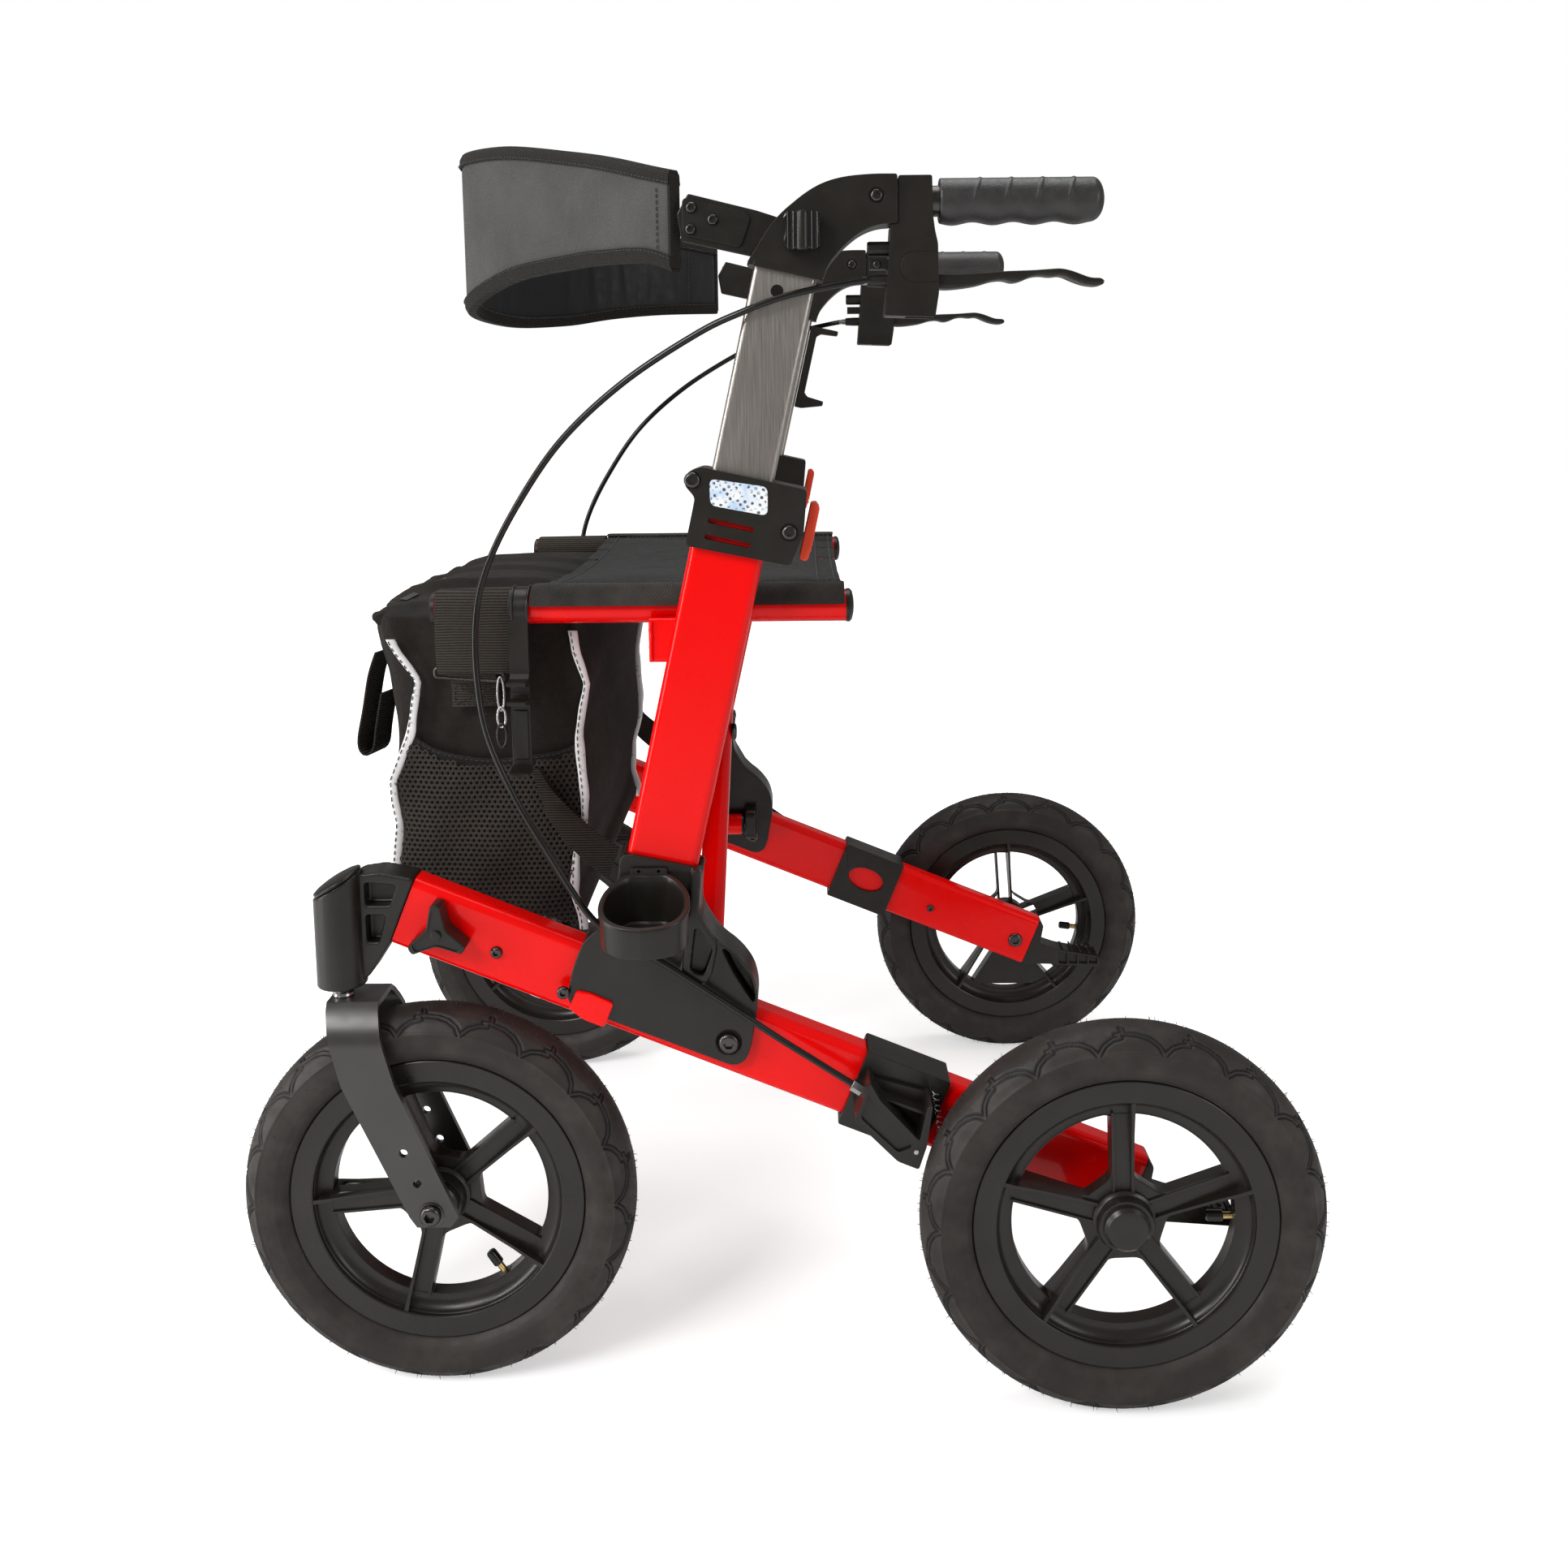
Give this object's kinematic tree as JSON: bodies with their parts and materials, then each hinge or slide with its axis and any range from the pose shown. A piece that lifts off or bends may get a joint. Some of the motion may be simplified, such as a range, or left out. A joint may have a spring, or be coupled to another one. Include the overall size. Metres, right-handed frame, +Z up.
{
  "type": "rollator",
  "caption": "Folding four-wheel rollator with pneumatic tyres, cross-braced side frames, sling seat, backrest band, under-seat bag, swivelling front forks and hand brakes",
  "frame": {"origin": "centre of the footprint on the ground plane", "axes": "+X forward, the way the user walks; +Y to the user's left; +Z up"},
  "size_m": [0.828, 0.6694, 0.983],
  "materials": {
    "red_paint": "smooth gloss paint on metal tube",
    "black_plastic": "moulded satin black",
    "grip_rubber": "soft matte rubber",
    "tyre_rubber": "moulded matte rubber",
    "brushed_aluminium": "brushed along its length",
    "bolt_steel": "blackened",
    "black_steel": "black powder coat on pressed steel",
    "woven_fabric": "woven polyester, padded backrest, mesh pocket"
  },
  "bodies": {
    "frame_left": {"rail_left": "red_paint", "upright_left": "red_paint", "frame_knuckle_left": "black_plastic", "caster_head_left": "black_plastic", "cane_cup_left": "black_plastic", "height_clamp_left": "black_plastic", "brake_bracket_left": "black_plastic", "tip_pedal_left": "black_plastic", "rear_axle_left": "bolt_steel", "brake_cable_left": "black_plastic"},
    "frame_right": {"rail_right": "red_paint", "upright_right": "red_paint", "frame_knuckle_right": "black_plastic", "caster_head_right": "black_plastic", "cane_cup_right": "black_plastic", "height_clamp_right": "black_plastic", "brake_bracket_right": "black_plastic", "tip_pedal_right": "black_plastic", "rear_axle_right": "bolt_steel", "brake_cable_right": "black_plastic"},
    "brace_a": {"brace_a": "red_paint", "brace_bolt": "bolt_steel"},
    "brace_b": {"brace_b": "red_paint"},
    "seat_sling": {"seat": "woven_fabric", "bag": "woven_fabric", "cane_clip_left": "black_plastic"},
    "handle_left": {"post_left": "brushed_aluminium", "handle_arm_left": "black_plastic", "grip_left": "grip_rubber", "brake_housing_left": "black_plastic", "backrest_bracket_left": "black_plastic", "backrest": "woven_fabric"},
    "brake_lever_left": {"brake_lever_left": "black_plastic"},
    "brake_arm_left": {"brake_arm_left": "black_plastic"},
    "clamp_lever_left": {"clamp_lever_left": "red_paint"},
    "rail_knob_left": {"rail_knob_left": "black_plastic"},
    "backrest_knob_left": {"backrest_knob_left": "black_plastic"},
    "fork_left": {"caster_fork_left": "black_steel", "front_axle_left": "bolt_steel"},
    "front_wheel_left": {"front_rim_left": "black_plastic", "front_tyre_left": "tyre_rubber"},
    "rear_wheel_left": {"rear_rim_left": "black_plastic", "rear_tyre_left": "tyre_rubber"},
    "handle_right": {"post_right": "brushed_aluminium", "handle_arm_right": "black_plastic", "grip_right": "grip_rubber", "brake_housing_right": "black_plastic", "backrest_bracket_right": "black_plastic", "cane_clip_right": "black_plastic"},
    "brake_lever_right": {"brake_lever_right": "black_plastic"},
    "brake_arm_right": {"brake_arm_right": "black_plastic"},
    "clamp_lever_right": {"clamp_lever_right": "red_paint"},
    "rail_knob_right": {"rail_knob_right": "black_plastic"},
    "backrest_knob_right": {"backrest_knob_right": "black_plastic"},
    "fork_right": {"caster_fork_right": "black_steel", "front_axle_right": "bolt_steel"},
    "front_wheel_right": {"front_rim_right": "black_plastic", "front_tyre_right": "tyre_rubber"},
    "rear_wheel_right": {"rear_rim_right": "black_plastic", "rear_tyre_right": "tyre_rubber"}
  },
  "joints": [
    {"name": "frame_fold", "type": "hinge", "parent": "frame_left", "child": "brace_a", "pos_m": [0.066, 0.222, 0.295], "axis": [-1, 0, 0], "range_deg": [0, 37], "deforming": ["seat", "bag", "backrest"]},
    {"name": "brace_cross", "type": "hinge", "parent": "brace_a", "child": "brace_b", "pos_m": [0.066, 0, 0.45456], "axis": [-1, 0, 0], "range_deg": [-74, 0]},
    {"name": "foot_right", "type": "hinge", "parent": "brace_b", "child": "frame_right", "pos_m": [0.066, -0.222, 0.295], "axis": [-1, 0, 0], "range_deg": [0, 37]},
    {"name": "sling_turn", "type": "hinge", "parent": "brace_b", "child": "seat_sling", "pos_m": [0.066, 0.21, 0.6055], "axis": [-1, 0, 0], "range_deg": [0, 37]},
    {"name": "height_left", "type": "slide", "parent": "frame_left", "child": "handle_left", "axis": [-0.2181, 0, 0.9759], "range_m": [-0.04, 0.04], "deforming": ["brake_cable_left"]},
    {"name": "height_right", "type": "slide", "parent": "frame_right", "child": "handle_right", "axis": [-0.2181, 0, 0.9759], "range_m": [-0.04, 0.04], "deforming": ["brake_cable_right"]},
    {"name": "brake_squeeze_left", "type": "hinge", "parent": "handle_left", "child": "brake_lever_left", "pos_m": [-0.112, 0.25, 0.849], "axis": [0, 1, 0], "range_deg": [0, 14], "stiffness_Nm_per_rad": 1.5, "springref_deg": -14.32},
    {"name": "brake_press_left", "type": "hinge", "parent": "frame_left", "child": "brake_arm_left", "pos_m": [-0.078, 0.25, 0.25], "axis": [0, 1, 0], "range_deg": [0, 2.4]},
    {"name": "clamp_release_left", "type": "hinge", "parent": "frame_left", "child": "clamp_lever_left", "pos_m": [-0.02644, 0.25, 0.64935], "axis": [0, -1, 0], "range_deg": [0, 60]},
    {"name": "rail_knob_turn_left", "type": "hinge", "parent": "frame_left", "child": "rail_knob_left", "pos_m": [0.2528, 0.2736, 0.3672], "axis": [0, 1, 0], "continuous": true},
    {"name": "backrest_knob_turn_left", "type": "hinge", "parent": "handle_left", "child": "backrest_knob_left", "pos_m": [-0.027, 0.2747, 0.883], "axis": [0, 1, 0], "continuous": true},
    {"name": "caster_swivel_left", "type": "hinge", "parent": "frame_left", "child": "fork_left", "pos_m": [0.3315, 0.2605, 0.32], "axis": [0, 0, 1], "continuous": true},
    {"name": "front_wheel_spin_left", "type": "hinge", "parent": "fork_left", "child": "front_wheel_left", "pos_m": [0.2615, 0.2605, 0.1525], "axis": [0, 1, 0], "continuous": true},
    {"name": "rear_wheel_spin_left", "type": "hinge", "parent": "frame_left", "child": "rear_wheel_left", "pos_m": [-0.2615, 0.3, 0.1525], "axis": [0, 1, 0], "continuous": true},
    {"name": "brake_squeeze_right", "type": "hinge", "parent": "handle_right", "child": "brake_lever_right", "pos_m": [-0.112, -0.25, 0.849], "axis": [0, 1, 0], "range_deg": [0, 14], "stiffness_Nm_per_rad": 1.5, "springref_deg": -14.32},
    {"name": "brake_press_right", "type": "hinge", "parent": "frame_right", "child": "brake_arm_right", "pos_m": [-0.078, -0.25, 0.25], "axis": [0, 1, 0], "range_deg": [0, 2.4]},
    {"name": "clamp_release_right", "type": "hinge", "parent": "frame_right", "child": "clamp_lever_right", "pos_m": [-0.02644, -0.25, 0.64935], "axis": [0, -1, 0], "range_deg": [0, 60]},
    {"name": "rail_knob_turn_right", "type": "hinge", "parent": "frame_right", "child": "rail_knob_right", "pos_m": [0.2528, -0.2736, 0.3672], "axis": [0, 1, 0], "continuous": true},
    {"name": "backrest_knob_turn_right", "type": "hinge", "parent": "handle_right", "child": "backrest_knob_right", "pos_m": [-0.027, -0.2747, 0.883], "axis": [0, 1, 0], "continuous": true},
    {"name": "caster_swivel_right", "type": "hinge", "parent": "frame_right", "child": "fork_right", "pos_m": [0.3315, -0.2605, 0.32], "axis": [0, 0, 1], "continuous": true},
    {"name": "front_wheel_spin_right", "type": "hinge", "parent": "fork_right", "child": "front_wheel_right", "pos_m": [0.2615, -0.2605, 0.1525], "axis": [0, 1, 0], "continuous": true},
    {"name": "rear_wheel_spin_right", "type": "hinge", "parent": "frame_right", "child": "rear_wheel_right", "pos_m": [-0.2615, -0.3, 0.1525], "axis": [0, 1, 0], "continuous": true}
  ],
  "couplings": [
    {"joint": "brace_cross", "follows": "frame_fold", "ratio": -2},
    {"joint": "foot_right", "follows": "frame_fold", "ratio": 1},
    {"joint": "sling_turn", "follows": "frame_fold", "ratio": 1},
    {"joint": "height_right", "follows": "height_left", "ratio": 1},
    {"joint": "brake_press_left", "follows": "brake_squeeze_left", "ratio": 0.17143},
    {"joint": "brake_press_right", "follows": "brake_squeeze_right", "ratio": 0.17143}
  ]
}
